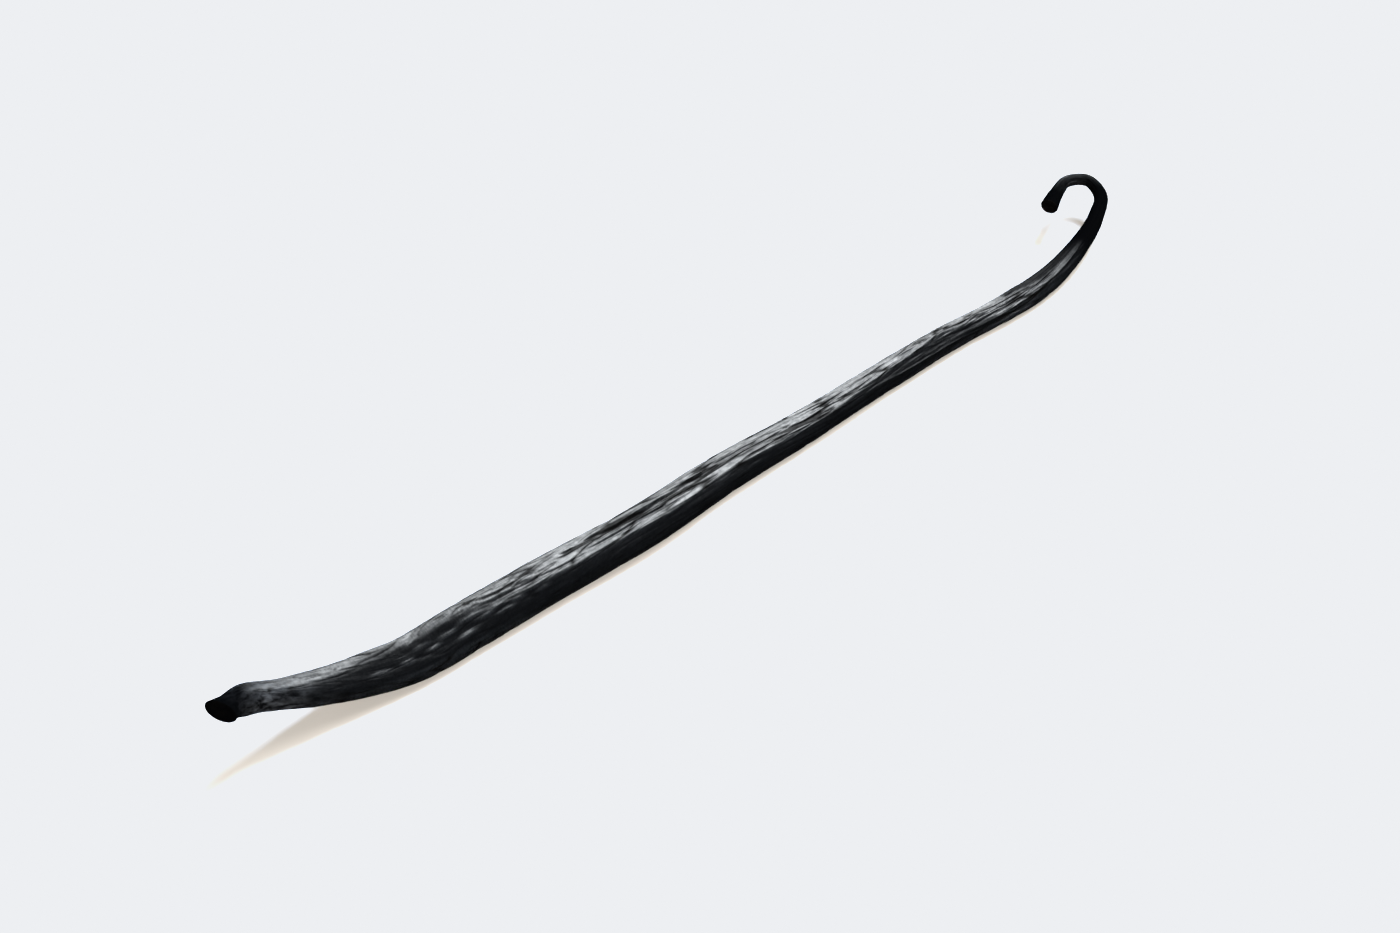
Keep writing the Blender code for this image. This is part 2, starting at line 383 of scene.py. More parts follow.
# How the skin changes along the pod: distance from the blossom end, how deep its wrinkles are and
# how far they are drawn out, against the sizes given below, and how oily and how dusty it is.
SKIN_ZONES = [
    (0.0, 0.15, 0.7, 0.00, 0.0),
    (4.0, 0.30, 0.7, 0.00, 0.3),
    (7.0, 0.50, 0.7, 0.26, 1.0),
    (10.0, 0.60, 0.8, 0.42, 1.0),
    (14.0, 0.70, 0.9, 0.62, 0.3),
    (22.0, 0.80, 0.9, 0.76, 0.0),
    (44.0, 0.95, 0.6, 0.80, 0.0),
    (54.0, 0.95, 1.2, 1.00, 0.0),
    (64.0, 1.00, 1.3, 1.00, 0.0),
    (92.0, 1.10, 1.6, 1.00, 0.0),
    (104.0, 1.20, 1.3, 0.96, 0.0),
    (112.0, 1.00, 1.1, 0.95, 0.0),
    (128.0, 1.10, 0.7, 0.90, 0.0),
    (139.0, 1.05, 0.8, 0.74, 0.0),
    (146.0, 1.00, 1.0, 0.42, 0.0),
    (152.0, 0.60, 1.0, 0.27, 0.0),
    (157.0, 0.40, 0.7, 0.00, 0.0),
    (169.0, 0.60, 0.6, 0.03, 0.0),
    (173.0, 0.90, 0.6, 0.30, 0.1),
    (176.0, 0.60, 0.6, 0.06, 0.1),
    (178.0, 0.30, 0.5, 0.00, 0.0),
    (181.0, 0.30, 0.5, 0.00, 0.0),
]

# One side of the skin is smoother, and shade is painted on it: it loses its oil, so it is dull and turns
# sooty black. Distance from the blossom end, the angle of its middle and how far it reaches either
# way in degrees. Near the stem end the painted shade lies on another side.
PAINTED_SHADE_SIDE = [
    (0.0, 28, 34),
    (9.0, 30, 36),
    (14.0, 30, 40),
    (18.0, 38, 44),
    (26.0, 49, 46),
    (38.0, 49, 44),
    (47.0, 28, 36),
    (54.0, 15, 40),
    (100.0, 12, 40),
    (110.0, 16, 40),
    (120.0, 28, 40),
    (130.0, 38, 40),
    (133.0, 30, 30),
    (138.5, 25, 1),
    (139.0, 116, 1),
    (143.0, 116, 32),
    (153.0, 114, 36),
    (181.0, 118, 32),
]

# How much shallower its wrinkles are and how much oil the painted shade takes off, as shares,
# how sharply it ends, and how oily the raised flecks on it are, which keep their sheen in it.
SMOOTH_SHARE = 0.6
PAINTED_SHADE_OIL_LOSS = 0.84
PAINTED_SHADE_EDGE = 8
FLECK_OIL = 0.9

# The skin unrolls into a strip as wide as a tube of this radius in mm, plus a share of the
# pod's own half width, so that fewer wrinkles run side by side where the pod is thin.
UNROLLED_RADIUS = 1.5
UNROLLED_SHARE = 0.4


def unrolled(distances, angle):
    """Each point's place on the unrolled skin, in mm, with its length drawn out by the zones."""
    lengths = from_table(SKIN_ZONES, 2, distances)
    along = np.concatenate(([0.0], np.cumsum(np.diff(distances) / lengths[1:])))[:, None]
    turned = twisted(distances[:, None], angle)
    radius = UNROLLED_RADIUS + UNROLLED_SHARE * from_table(SECTIONS, 1, distances)[:, None] / 2
    return np.stack([radius * np.cos(turned), radius * np.sin(turned), along + 0 * turned], axis=-1)


angles = 2 * math.pi * np.arange(SIDES) / SIDES
distances = ring_distances(centre_line()[1][-1])
skin, pressed, forward = skin_points(distances, angles)
skin_unrolled = unrolled(distances, angles)
# Where shade is painted on the skin: a mask that is 1 on the shaded side and falls off sharply at its edges.
stations, middles, reaches = np.array(PAINTED_SHADE_SIDE).T
painted_shade_middle = np.radians(np.interp(distances, stations, middles))[:, None]
painted_shade_reach = np.radians(np.interp(distances, stations, reaches))[:, None]
from_middle = np.abs(np.remainder(angles - painted_shade_middle + math.pi, 2 * math.pi) - math.pi)
painted_shade_mask = np.exp(-(from_middle / painted_shade_reach) ** PAINTED_SHADE_EDGE)
wrinkled = from_table(SKIN_ZONES, 1, distances)[:, None] * (1 - pressed) * (1 - SMOOTH_SHARE * painted_shade_mask)
half_heights = from_table(SECTIONS, 2, distances)[:, None] / 2
fleck = small_marks(distances[:, None], angles, half_heights)[1]
# Painted shade: the oil is taken off the shaded side, which leaves it dull and sooty black.
oil_and_painted_shade = from_table(SKIN_ZONES, 3, distances)[:, None] * (1 - PAINTED_SHADE_OIL_LOSS * painted_shade_mask)
oil_and_painted_shade = np.maximum(oil_and_painted_shade, FLECK_OIL * fleck)
dusty = from_table(SKIN_ZONES, 4, distances)[:, None] * np.ones_like(painted_shade_mask)


def add(tree, kind, inputs=(), **settings):
    """Add a node with its settings, and give its inputs values or other nodes' outputs."""
    node = tree.nodes.new(kind)
    for name, value in settings.items():
        setattr(node, name, value)
    for key, value in dict(inputs).items():
        if isinstance(value, bpy.types.NodeSocket):
            tree.links.new(value, node.inputs[key])
        else:
            node.inputs[key].default_value = value
    return node


def calculate(tree, operation, *values):
    """The result of one Math node."""
    return add(tree, "ShaderNodeMath", enumerate(values), operation=operation).outputs[0]


def combine(tree, operation, first, second):
    """The result of one Vector Math node on two vectors."""
    return add(tree, "ShaderNodeVectorMath", {0: first, 1: second}, operation=operation).outputs[0]


def remap(tree, value, low, high, to_low, to_high):
    """Stretch one range of values over another, and stop at its ends."""
    ranges = {"Value": value, "From Min": low, "From Max": high, "To Min": to_low, "To Max": to_high}
    return add(tree, "ShaderNodeMapRange", ranges).outputs[0]


def blend(tree, share, first, second):
    """One colour turning into another."""
    mix = add(tree, "ShaderNodeMix", {"Factor": share}, data_type="RGBA", clamp_factor=True)
    for key, colour in ((6, first), (7, second)):
        if isinstance(colour, bpy.types.NodeSocket):
            tree.links.new(colour, mix.inputs[key])
        else:
            mix.inputs[key].default_value = (*colour, 1.0)
    return mix.outputs[2]


# The grain's noise is turned by these angles, so that its own grid doesn't line up with the pod,
# and warped by this much. Most of it lies between these two levels.
GRAIN_TURN = (0.6, 0.5, 0.3)
GRAIN_WARP = 0.3
GRAIN_LEVELS = (0.3, 0.7)


def grain_group():
    """Fine grain drawn out along the fibres, and slow patches: both run from 0 to 1."""
    tree = bpy.data.node_groups.new("fibre_grain", "ShaderNodeTree")
    tree.interface.new_socket("Place", in_out="INPUT", socket_type="NodeSocketVector")
    for name in ("Fibre Width", "Fibre Length", "Patch Size"):
        tree.interface.new_socket(name, in_out="INPUT", socket_type="NodeSocketFloat")
    for name in ("Fibres", "Patches"):
        tree.interface.new_socket(name, in_out="OUTPUT", socket_type="NodeSocketFloat")
    given = add(tree, "NodeGroupInput").outputs
    across = calculate(tree, "DIVIDE", 1.0, given["Fibre Width"])
    along = calculate(tree, "DIVIDE", 1.0, given["Fibre Length"])
    stretch = add(tree, "ShaderNodeCombineXYZ", {"X": across, "Y": across, "Z": along}).outputs[0]
    askew = {"Vector": combine(tree, "MULTIPLY", given["Place"], stretch), "Rotation": GRAIN_TURN}
    askew = add(tree, "ShaderNodeVectorRotate", askew, rotation_type="EULER_XYZ").outputs[0]
    fibre_settings = {"Vector": askew, "Scale": 1.0, "Detail": 2.0, "Distortion": GRAIN_WARP}
    fibres = add(tree, "ShaderNodeTexNoise", fibre_settings)
    patch_scale = calculate(tree, "DIVIDE", 1.0, given["Patch Size"])
    aslant = {"Vector": given["Place"], "Rotation": GRAIN_TURN}
    aslant = add(tree, "ShaderNodeVectorRotate", aslant, rotation_type="EULER_XYZ").outputs[0]
    patch_settings = {"Vector": aslant, "Scale": patch_scale, "Detail": 3.0, "Distortion": GRAIN_WARP}
    patches = add(tree, "ShaderNodeTexNoise", patch_settings)
    add(tree, "NodeGroupOutput", {"Fibres": fibres.outputs[0], "Patches": patches.outputs[0]})
    return tree


FIBRE_GRAIN = grain_group()


def grain(tree, place, width, length, patch):
    """Place the fibre grain in a material, with its sizes in the units of the place."""
    node = tree.nodes.new("ShaderNodeGroup")
    node.node_tree = FIBRE_GRAIN
    tree.links.new(place, node.inputs["Place"])
    node.inputs["Fibre Width"].default_value = width
    node.inputs["Fibre Length"].default_value = length
    node.inputs["Patch Size"].default_value = patch
    return node.outputs["Fibres"], node.outputs["Patches"]


def start_material(name):
    """A new material, its node tree and its shader."""
    material = bpy.data.materials.new(name)
    material.use_nodes = True
    return material, material.node_tree, material.node_tree.nodes["Principled BSDF"]


# The skin's colours where it is oily and dry, a darker black painted into its creases as shade, its sooty
# black where the oil is below this share, which is the ends' own black and painted shade on the shaded
# side, and the dust on it near both ends.
SKIN_BLACK = (0.0027, 0.0033, 0.0041)
SKIN_GREY = (0.0054, 0.0062, 0.0073)
PAINTED_CREASE_SHADE = (0.0014, 0.0013, 0.0012)
SOOTY_AND_PAINTED_SHADE_BLACK = (0.0011, 0.0012, 0.0014)
SOOTY_AND_PAINTED_SHADE_BELOW = 0.5
DUST_GREY = (0.044, 0.047, 0.051)

# Width, length and patch size in mm of its coarse and fine fibres and of the mottled dust, and
# how high the fibres stand in mm.
COARSE_FIBRES = (0.30, 2.4, 3.0)
FINE_FIBRES = (0.13, 0.6, 0.5)
DUST_MOTTLES = (0.70, 1.9, 4.0)
COARSE_HEIGHT = 0.018
FINE_HEIGHT = 0.007

# How a mask or a level of the grain becomes a share: from, to, share at the first, share at the
# second. First where the skin is dry and dusty, then how much oil is left on it.
DRY_PATCHES = (0.40, 0.66, 0.0, 1.0)
DUSTY_MOTTLES = (0.36, 0.68, 0.0, 1.0)
DUSTY_PATCHES = (0.35, 0.60, 0.35, 1.0)
OIL_IN_CREASES = (0.1, 0.9, 1.0, 0.12)
OIL_IN_PATCHES = (0.35, 0.62, 1.0, 0.75)
OIL_IN_SPECKS = (0.42, 0.62, 1.0, 0.65)
OIL_ON_FIBRES = (0.36, 0.60, 0.75, 1.0)

# Roughness of the bare skin between and on its fibres, and the film of oil on it.
SKIN_ROUGHNESS = (0.45, 0.62)
OIL_ROUGHNESS = 0.40
OIL_IOR = 1.85


def skin_material():
    """Nearly black skin with an oily sheen on its ridges, duller in the creases and at both ends, with
    painted shade: darker in its creases and sooty on its shaded side.
    """
    material, tree, shader = start_material("pod_skin")
    place = add(tree, "ShaderNodeAttribute", attribute_name="unrolled").outputs["Vector"]
    crease = add(tree, "ShaderNodeAttribute", attribute_name="crease").outputs["Fac"]
    oil_and_painted_shade = add(tree, "ShaderNodeAttribute", attribute_name="oil_and_painted_shade").outputs["Fac"]
    dusty = add(tree, "ShaderNodeAttribute", attribute_name="dusty").outputs["Fac"]
    coarse, patches = grain(tree, place, *COARSE_FIBRES)
    fine, specks = grain(tree, place, *FINE_FIBRES)
    dry = remap(tree, patches, *DRY_PATCHES)
    # Painted shade: the creases are coloured a darker black.
    colour = blend(tree, crease, blend(tree, dry, SKIN_BLACK, SKIN_GREY), PAINTED_CREASE_SHADE)
    # Where the oil is low the skin turns sooty black: the dry ends' own black, and painted shade on its
    # shaded side.
    colour = blend(tree, remap(tree, oil_and_painted_shade, 0.0, SOOTY_AND_PAINTED_SHADE_BELOW, 1.0, 0.0), colour, SOOTY_AND_PAINTED_SHADE_BLACK)
    mottles, clouds = grain(tree, place, *DUST_MOTTLES)
    dust = calculate(tree, "MULTIPLY", dusty, remap(tree, mottles, *DUSTY_MOTTLES))
    dust = calculate(tree, "MULTIPLY", dust, remap(tree, clouds, *DUSTY_PATCHES))
    colour = blend(tree, dust, colour, DUST_GREY)
    tree.links.new(colour, shader.inputs["Base Color"])
    tree.links.new(remap(tree, coarse, *GRAIN_LEVELS, *SKIN_ROUGHNESS), shader.inputs["Roughness"])
    bare = remap(tree, crease, *OIL_IN_CREASES)
    patchy = remap(tree, patches, *OIL_IN_PATCHES)
    worn = calculate(tree, "MULTIPLY", patchy, remap(tree, specks, *OIL_IN_SPECKS))
    oil = calculate(tree, "MULTIPLY", calculate(tree, "MULTIPLY", oil_and_painted_shade, bare), worn)
    oil = calculate(tree, "MULTIPLY", oil, remap(tree, coarse, *OIL_ON_FIBRES))
    tree.links.new(oil, shader.inputs["Coat Weight"])
    shader.inputs["Coat Roughness"].default_value = OIL_ROUGHNESS
    shader.inputs["Coat IOR"].default_value = OIL_IOR
    shader.inputs["Specular IOR Level"].default_value = 0.0
    rough = {"Strength": 1.0, "Distance": COARSE_HEIGHT * MM, "Height": coarse}
    rough = add(tree, "ShaderNodeBump", rough).outputs[0]
    fine_bump = {"Strength": 1.0, "Distance": FINE_HEIGHT * MM, "Height": fine, "Normal": rough}
    fine_bump = add(tree, "ShaderNodeBump", fine_bump).outputs[0]
    tree.links.new(fine_bump, shader.inputs["Normal"])
    tree.links.new(fine_bump, shader.inputs["Coat Normal"])
    return material


# The blossom end is where the withered flower dropped off: a blunt, coal-black face with a low, worn
# rim, a shallow hollow inside it and a slight rise in its middle.

# From the rim to the middle: radius as a share of the rim's, and how far out it lies in mm.
BLOSSOM_SCAR = [(1.0, 0.0), (0.95, 0.12), (0.82, 0.17), (0.62, 0.08), (0.40, 0.02), (0.18, 0.06), (0.0, 0.10)]
SCAR_RINGS = 16

# Its black, the dust on it and where that lies, the width, length and patch size of its grain in
# mm, how high the grain stands in mm, and the roughness between and on it.
SCAR_COLOUR = (0.0008, 0.0008, 0.0009)
SCAR_DUST = (0.0013, 0.0012, 0.0012)
SCAR_DUSTY_PATCHES = (0.45, 0.70, 0.0, 1.0)
SCAR_GRAIN = (0.35, 0.35, 1.5)
SCAR_HEIGHT = 0.04
SCAR_ROUGHNESS = (0.50, 0.75)


def worn_end(rim, outward, profile, count):
    """Rings that close an end along its profile, the point in their middle, and the rings' sizes."""
    table = np.array(profile)
    steps = np.linspace(0, len(profile) - 1, count + 1)[1:]
    scales = smooth_curve(np.arange(len(profile)), table[:, 0], steps)
    heights = smooth_curve(np.arange(len(profile)), table[:, 1], steps)
    centre = rim.mean(axis=0)
    closed = []
    for scale, height in zip(scales[:-1], heights[:-1]):
        closed.append(centre + scale * (rim - centre) + height * outward)
    return closed, centre + heights[-1] * outward, scales[:-1]


def scar_material():
    """Dull coal black with a trace of slightly browner dust."""
    material, tree, shader = start_material("blossom_scar")
    place = add(tree, "ShaderNodeAttribute", attribute_name="unrolled").outputs["Vector"]
    fibres, patches = grain(tree, place, *SCAR_GRAIN)
    colour = blend(tree, remap(tree, patches, *SCAR_DUSTY_PATCHES), SCAR_COLOUR, SCAR_DUST)
    tree.links.new(colour, shader.inputs["Base Color"])
    tree.links.new(remap(tree, fibres, *GRAIN_LEVELS, *SCAR_ROUGHNESS), shader.inputs["Roughness"])
    shader.inputs["Specular IOR Level"].default_value = 0.0
    bump = add(tree, "ShaderNodeBump", {"Strength": 1.0, "Distance": SCAR_HEIGHT * MM, "Height": fibres})
    tree.links.new(bump.outputs[0], shader.inputs["Normal"])
    return material


scar, scar_tip, scar_scales = worn_end(skin[0], -forward[0], BLOSSOM_SCAR, SCAR_RINGS)


# The stem end is where the pod was broken from its stalk: a small, slightly flared face, dry and
# black, with a trace of reddish brown left along the lower side of its rim.

# From the rim to the middle, as at the blossom end.
STEM_CUT = [(1.0, 0.0), (0.94, 0.12), (0.80, 0.18), (0.55, 0.12), (0.25, 0.06), (0.0, 0.04)]
CUT_RINGS = 12

# Its brown and its black, the width, length and patch size of its grain in mm, how high the grain
# stands in mm, the roughness between and on it, and its slight gloss.
CUT_BROWN = (0.075, 0.040, 0.034)
CUT_BLACK = (0.0016, 0.0013, 0.0012)
CUT_GRAIN = (0.22, 0.22, 0.8)
CUT_HEIGHT = 0.05
CUT_ROUGHNESS = (0.55, 0.80)
CUT_GLOSS = 0.1

# The brown side of the rim, as a direction on the unrolled skin, how far out the brown starts and
# is full, in mm, and how the grain's patches break it up.
BROWN_SIDE = (0.82, -0.57, 0.0)
BROWN_FROM = 1.35
BROWN_FULL = 2.15
BROWN_PATCHES = (0.35, 0.60, 0.3, 1.0)


def cut_material():
    """Dry, broken fibres, black but for the brown side of the rim."""
    material, tree, shader = start_material("stem_cut")
    place = add(tree, "ShaderNodeAttribute", attribute_name="unrolled").outputs["Vector"]
    fibres, patches = grain(tree, place, *CUT_GRAIN)
    outwards = add(tree, "ShaderNodeVectorMath", {0: place, 1: BROWN_SIDE}, operation="DOT_PRODUCT")
    brown = remap(tree, outwards.outputs["Value"], BROWN_FROM, BROWN_FULL, 0.0, 1.0)
    brown = calculate(tree, "MULTIPLY", brown, remap(tree, patches, *BROWN_PATCHES))
    tree.links.new(blend(tree, brown, CUT_BLACK, CUT_BROWN), shader.inputs["Base Color"])
    tree.links.new(remap(tree, fibres, *GRAIN_LEVELS, *CUT_ROUGHNESS), shader.inputs["Roughness"])
    shader.inputs["Specular IOR Level"].default_value = CUT_GLOSS
    bump = add(tree, "ShaderNodeBump", {"Strength": 1.0, "Distance": CUT_HEIGHT * MM, "Height": fibres})
    tree.links.new(bump.outputs[0], shader.inputs["Normal"])
    return material


cut, cut_tip, cut_scales = worn_end(skin[-1], forward[-1], STEM_CUT, CUT_RINGS)


# The whole pod is one skin from end to end. As it dried it shrank into wrinkles that run along it,
# fork and meet again: deep ones, finer ones between them, and faint ones over all.

# How far the unrolled skin runs on over each worn end, in mm, and how deep the wrinkles are there.
END_REACH = 1.0
END_WRINKLES = 0.15


def loft(rings, first_point, last_point):
    """One closed mesh through the rings, with its points in the order of the rings."""
    count = len(rings)
    points = np.concatenate([np.reshape(rings, (-1, 3)), [first_point, last_point]]) * MM
    lower = np.arange(count - 1)[:, None] * SIDES + np.arange(SIDES)
    beside = np.roll(lower, -1, axis=1)
    quads = np.stack([lower, lower + SIDES, beside + SIDES, beside], axis=-1).reshape(-1, 4)
    sides = [(side, (side + 1) % SIDES) for side in range(SIDES)]
    last_ring = (count - 1) * SIDES
    first_tip = count * SIDES
    first_fan = [(first_tip, here, beyond) for here, beyond in sides]
    last_fan = [(first_tip + 1, last_ring + beyond, last_ring + here) for here, beyond in sides]
    mesh = bpy.data.meshes.new("vanilla_skin")
    mesh.from_pydata(points.tolist(), [], quads.tolist() + first_fan + last_fan)
    mesh.shade_smooth()
    return mesh


def keep(mesh, name, values, kind="FLOAT"):
    """Store one value or vector for each point of the mesh."""
    attribute = mesh.attributes.new(name, kind, "POINT")
    attribute.data.foreach_set("vector" if kind == "FLOAT_VECTOR" else "value", np.ravel(values))


def end_unrolled(rim, scales, reach):
    """Places on the unrolled skin for the rings of a worn end: the rim's, drawn in to the middle."""
    across = np.array([1.0, 1.0, 0.0])
    along = 1 - across
    drawn_in = scales[:, None, None]
    return drawn_in * rim * across + rim * along + reach * (1 - drawn_in) * along


def over_rings(scar_value, skin_values, cut_value):
    """One value a point from end to end: plain numbers on the worn ends, and one a point on the skin."""
    first = np.full((len(scar), SIDES), scar_value)
    last = np.full((len(cut), SIDES), cut_value)
    tips = [scar_value, cut_value]
    return np.concatenate([np.ravel(first), np.ravel(skin_values), np.ravel(last), tips])


scar_unrolled = end_unrolled(skin_unrolled[0], scar_scales, -END_REACH)[::-1]
cut_unrolled = end_unrolled(skin_unrolled[-1], cut_scales, END_REACH)
tips_unrolled = np.array([scar_unrolled[0].mean(axis=0), cut_unrolled[-1].mean(axis=0)])
rings = scar[::-1] + list(skin) + cut
mesh = loft(rings, scar_tip, cut_tip)
everywhere = (scar_unrolled, skin_unrolled, cut_unrolled, tips_unrolled)
everywhere = np.concatenate([np.reshape(places, (-1, 3)) for places in everywhere])
keep(mesh, "unrolled", everywhere, "FLOAT_VECTOR")
keep(mesh, "wrinkled", over_rings(END_WRINKLES, wrinkled, END_WRINKLES))
keep(mesh, "oil_and_painted_shade", over_rings(0.0, oil_and_painted_shade, 0.0))
keep(mesh, "dusty", over_rings(0.0, dusty, 0.0))
keep(mesh, "scar", over_rings(1.0, 0 * wrinkled, 0.0))
keep(mesh, "cut", over_rings(0.0, 0 * wrinkled, 1.0))

# The three sizes of wrinkle: spacing and length in mm, depth in mm, and how wide the crease
# is against the ridge beside it.
WRINKLE_MEASURES = ("Spacing", "Length", "Depth", "Crease Width")
WRINKLES = {
    "Deep": (1.8, 11.0, 0.13, 0.052),
    "Fine": (0.85, 6.5, 0.095, 0.058),
    "Faint": (0.60, 4.5, 0.030, 0.160),
}

# The seed of their noise and the step from one size to the next, the level that its lines lie at,
# how rough they are, and the power that sharpens a crease towards its bottom.
WRINKLE_SEED = 4.0
SEED_STEP = 7.3
LINE_LEVEL = 0.5
LINE_ROUGHNESS = 0.4
CREASE_POWER = 1.6

# How deep the wrinkles are where the skin counts as fully creased, in mm, and the share of a worn
# end above which a face gets that end's material.
FULL_CREASE = 0.13
MASK_LEVEL = 0.5

# How far the wrinkles waver from side to side, and the length of one waver, in mm.
WAVER = 0.22
WAVER_LENGTH = 3.2


def wrinkle_tree(skin, scar, cut):
    """Geometry Nodes that sink the wrinkles into the skin and give the pod its materials."""
    tree = bpy.data.node_groups.new("wrinkles", "GeometryNodeTree")
    new_socket = tree.interface.new_socket
    new_socket("Geometry", in_out="INPUT", socket_type="NodeSocketGeometry")
    for size in WRINKLES:
        for measure in WRINKLE_MEASURES:
            new_socket(f"{size} {measure}", in_out="INPUT", socket_type="NodeSocketFloat")
    for name in ("Waver", "Waver Length", "Full Crease", "Seed"):
        new_socket(name, in_out="INPUT", socket_type="NodeSocketFloat")
    new_socket("Geometry", in_out="OUTPUT", socket_type="NodeSocketGeometry")
    given = add(tree, "NodeGroupInput").outputs

    def stored(name, kind="FLOAT"):
        """A value that the mesh keeps for each point."""
        return add(tree, "GeometryNodeInputNamedAttribute", {"Name": name}, data_type=kind).outputs[0]

    def noise(place, seed):
        """Soft noise, one feature wide to each unit of the place."""
        settings = {"Vector": place, "W": seed, "Scale": 1.0, "Detail": 1.0, "Roughness": LINE_ROUGHNESS}
        return add(tree, "ShaderNodeTexNoise", settings, noise_dimensions="4D")

    def stretch(place, across, along):
        """The place in units of these sizes."""
        across = calculate(tree, "DIVIDE", 1.0, across)
        along = calculate(tree, "DIVIDE", 1.0, along)
        scale = add(tree, "ShaderNodeCombineXYZ", {"X": across, "Y": across, "Z": along}).outputs[0]
        return combine(tree, "MULTIPLY", place, scale)

    def scaled(vector, size):
        """A vector made this many times as long."""
        return add(tree, "ShaderNodeVectorMath", {0: vector, "Scale": size}, operation="SCALE").outputs[0]

    place = stored("unrolled", "FLOAT_VECTOR")
    wavering = noise(stretch(place, given["Waver Length"], given["Waver Length"]), given["Seed"])
    centred = combine(tree, "SUBTRACT", wavering.outputs["Color"], (LINE_LEVEL, LINE_LEVEL, LINE_LEVEL))
    place = combine(tree, "ADD", place, scaled(centred, given["Waver"]))

    sunk = 0.0
    for number, size in enumerate(WRINKLES, start=1):
        seed = calculate(tree, "ADD", given["Seed"], SEED_STEP * number)
        lines = noise(stretch(place, given[f"{size} Spacing"], given[f"{size} Length"]), seed).outputs[0]
        off_line = calculate(tree, "ABSOLUTE", calculate(tree, "SUBTRACT", lines, LINE_LEVEL))
        ridge = calculate(tree, "DIVIDE", off_line, given[f"{size} Crease Width"])
        ridge = calculate(tree, "MINIMUM", ridge, 1.0)
        crease = calculate(tree, "POWER", calculate(tree, "SUBTRACT", 1.0, ridge), CREASE_POWER)
        sunk = calculate(tree, "MULTIPLY_ADD", crease, given[f"{size} Depth"], sunk)
    sunk = calculate(tree, "MULTIPLY", sunk, stored("wrinkled"))
    creased = calculate(tree, "MINIMUM", calculate(tree, "DIVIDE", sunk, given["Full Crease"]), 1.0)
    sunk = calculate(tree, "MULTIPLY", sunk, -MM)
    offset = scaled(add(tree, "GeometryNodeInputNormal").outputs[0], sunk)

    moved = add(tree, "GeometryNodeSetPosition", {"Geometry": given["Geometry"], "Offset": offset}).outputs[0]
    crease = {"Geometry": moved, "Name": "crease", "Value": creased}
    result = add(tree, "GeometryNodeStoreNamedAttribute", crease, data_type="FLOAT", domain="POINT")
    result = add(tree, "GeometryNodeRealizeInstances", {"Geometry": result.outputs[0]}).outputs[0]
    result = add(tree, "GeometryNodeSetMaterial", {"Geometry": result, "Material": skin}).outputs[0]
    for name, material in (("scar", scar), ("cut", cut)):
        mask = {0: stored(name), 1: MASK_LEVEL}
        chosen = add(tree, "FunctionNodeCompare", mask, data_type="FLOAT", operation="GREATER_THAN")
        painted = {"Geometry": result, "Selection": chosen.outputs[0], "Material": material}
        result = add(tree, "GeometryNodeSetMaterial", painted).outputs[0]
    add(tree, "NodeGroupOutput", {"Geometry": result})
    return tree


rough_pod = bpy.data.objects.new("unwrinkled_pod", mesh)
bpy.context.scene.collection.objects.link(rough_pod)
modifier = rough_pod.modifiers.new("wrinkles", "NODES")
modifier.node_group = wrinkle_tree(skin_material(), scar_material(), cut_material())
wrinkle_inputs = {
    "Waver": WAVER,
    "Waver Length": WAVER_LENGTH,
    "Full Crease": FULL_CREASE,
    "Seed": WRINKLE_SEED,
}
for size, measures in WRINKLES.items():
    for measure, value in zip(WRINKLE_MEASURES, measures):
        wrinkle_inputs[f"{size} {measure}"] = value
for item in modifier.node_group.interface.items_tree:
    if item.name in wrinkle_inputs:
        modifier[item.identifier] = wrinkle_inputs[item.name]
evaluated = rough_pod.evaluated_get(bpy.context.evaluated_depsgraph_get())
pod = bpy.data.objects.new("vanilla_skin", bpy.data.meshes.new_from_object(evaluated))
bpy.data.objects.remove(rough_pod)
bpy.context.scene.collection.objects.link(pod)
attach(pod, "root")
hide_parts("vanilla_pod")


# The pod lies on a plain surface that fills the picture to its edges. It is dull and pale, and not
# part of the pod. Its size is in m.
FLOOR_SIZE = 8.0
FLOOR_COLOUR = (0.80, 0.80, 0.80)
floor_mesh = bpy.data.meshes.new("floor")
half = FLOOR_SIZE / 2
floor_corners = [(-half, -half, 0), (half, -half, 0), (half, half, 0), (-half, half, 0)]
floor_mesh.from_pydata(floor_corners, [], [(0, 1, 2, 3)])
floor = bpy.data.objects.new("floor", floor_mesh)
bpy.context.scene.collection.objects.link(floor)
floor_material, _, floor_shader = start_material("floor")
floor_shader.inputs["Base Color"].default_value = (*FLOOR_COLOUR, 1.0)
floor_shader.inputs["Roughness"].default_value = 1.0
floor_shader.inputs["Specular IOR Level"].default_value = 0.0
floor_mesh.materials.append(floor_material)

# The lower sheen panel below reaches under the surface, which lets its light through and leaves
# the pod's sheen to it.
floor.visible_glossy = False
floor.visible_shadow = False


# Soft studio light: two tall panels beyond the stem end, one above the other, whose sheen shows on
# the ridges. Three more light the surface and the bare skin: one overhead gives the lifted end its
# faint shadow, one in front lightens it, and a small one over the crook lightens the shadow there.
def light_panel(name, first, last, distance, width, power, colour):
    """A panel facing the pod, whose long middle line runs between two directions seen from it."""
    first = Vector(first).normalized()
    last = Vector(last).normalized()
    towards = (first + last).normalized()
    lengthwise = (last - first).normalized()
    across = towards.cross(lengthwise)
    data = bpy.data.lights.new(name, "AREA")
    data.shape = "RECTANGLE"
    data.size = 2 * distance * math.tan(first.angle(last) / 2)
    data.size_y = width
    data.energy = power
    data.color = colour
    panel = bpy.data.objects.new(name, data)
    bpy.context.scene.collection.objects.link(panel)
    panel.location = towards * distance
    panel.rotation_euler = Matrix((lengthwise, across, towards)).transposed().to_euler()
    return panel


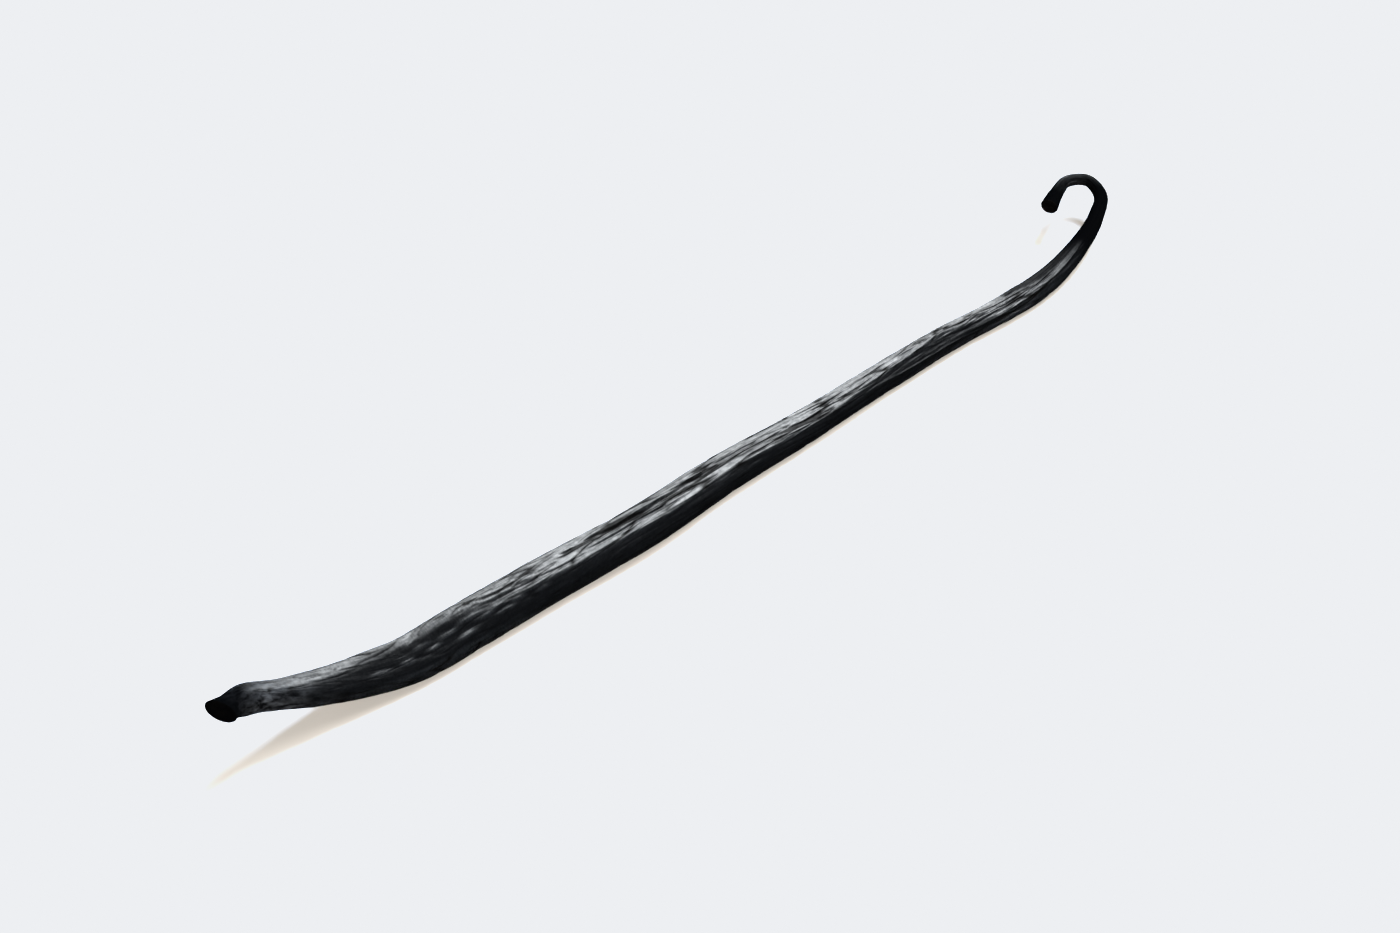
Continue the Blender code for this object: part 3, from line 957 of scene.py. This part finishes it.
# The sheen's panels: the directions of both ends of the middle line, and the power in W. They
# show as gloss alone.
SHEEN_DISTANCE = 3.6
SHEEN_WIDTH = 4.2
SHEEN_COLOUR = (0.93, 0.97, 1.0)
SHEEN_STRIPS = [
    ("upper_sheen", (0.60, -0.18, 0.78), (0.62, 0.45, 0.64), 450.0),
    ("lower_sheen", (0.62, 0.45, 0.64), (0.60, 0.80, -0.22), 290.0),
]
for name, first, last, power in SHEEN_STRIPS:
    sheen = light_panel(name, first, last, SHEEN_DISTANCE, SHEEN_WIDTH, power, SHEEN_COLOUR)
    sheen.visible_diffuse = False

# The other panels: both directions, distance and width in m, power in W, and colour. None of
# them shows in the sheen.
FLOOR_LIGHTS = [
    ("overhead", (0.34, 0.10, 0.94), (0.53, 0.08, 0.84), 3.6, 1.3, 250.0, (0.67, 0.80, 1.0)),
    ("front_fill", (-0.10, -0.86, 0.50), (-0.50, -0.72, 0.50), 3.6, 1.4, 150.0, (1.0, 0.92, 0.82)),
    ("crook_fill", (0.45, -0.15, 0.85), (0.15, -0.30, 0.85), 0.25, 0.10, 0.30, (1.0, 0.92, 0.82)),
]
for name, first, last, distance, width, power, colour in FLOOR_LIGHTS:
    light = light_panel(name, first, last, distance, width, power, colour)
    light.visible_glossy = False

# The room: pale as the floor where the camera sees it, dark in the pod's sheen, and dim and
# warm where it lights the shadows.
ROOM_SEEN = (0.84, 0.86, 0.88)
ROOM_MIRRORED = (0.014, 0.016, 0.019)
ROOM_LIGHT = (0.23, 0.21, 0.185)
world = bpy.data.worlds.new("room")
world.use_nodes = True
bpy.context.scene.world = world
ray = add(world.node_tree, "ShaderNodeLightPath")
room = blend(world.node_tree, ray.outputs["Is Glossy Ray"], ROOM_LIGHT, ROOM_MIRRORED)
room = blend(world.node_tree, ray.outputs["Is Camera Ray"], room, ROOM_SEEN)
world.node_tree.links.new(room, world.node_tree.nodes["Background"].inputs["Color"])

# The camera looks down at 45 degrees, from the pod's right and a little behind its blossom end.
CAMERA_LENS = 70.0
CAMERA_TURN = math.radians(39.72)
CAMERA_HEIGHT = math.radians(45.0)
CAMERA_DISTANCE = 0.385
CAMERA_NEAR = 0.01
CAMERA_AIM = Vector((-0.0006, 0.0007, 0.0))
camera = bpy.data.objects.new("camera", bpy.data.cameras.new("camera"))
bpy.context.scene.collection.objects.link(camera)
camera.data.lens = CAMERA_LENS
camera.data.clip_start = CAMERA_NEAR
camera_side = Vector((-math.sin(CAMERA_TURN), -math.cos(CAMERA_TURN), 0.0)) * math.cos(CAMERA_HEIGHT)
towards_camera = camera_side + Vector((0.0, 0.0, math.sin(CAMERA_HEIGHT)))
camera.location = CAMERA_AIM + towards_camera * CAMERA_DISTANCE
camera.rotation_euler = towards_camera.to_track_quat("Z", "Y").to_euler()
bpy.context.scene.camera = camera

# The picture is exposed so that the floor just reaches white: past the floor's colour, nothing in it
# gets lighter.
FLOOR_WHITE = (0.847, 0.863, 0.887)
view = bpy.context.scene.view_settings
view.view_transform = "Standard"
view.use_curve_mapping = True
for curve, white in zip(view.curve_mapping.curves, FLOOR_WHITE):
    curve.points.new(white, white)
    curve.points[-1].location = (1.0, white)
    for point in curve.points:
        point.handle_type = "VECTOR"
view.curve_mapping.update()
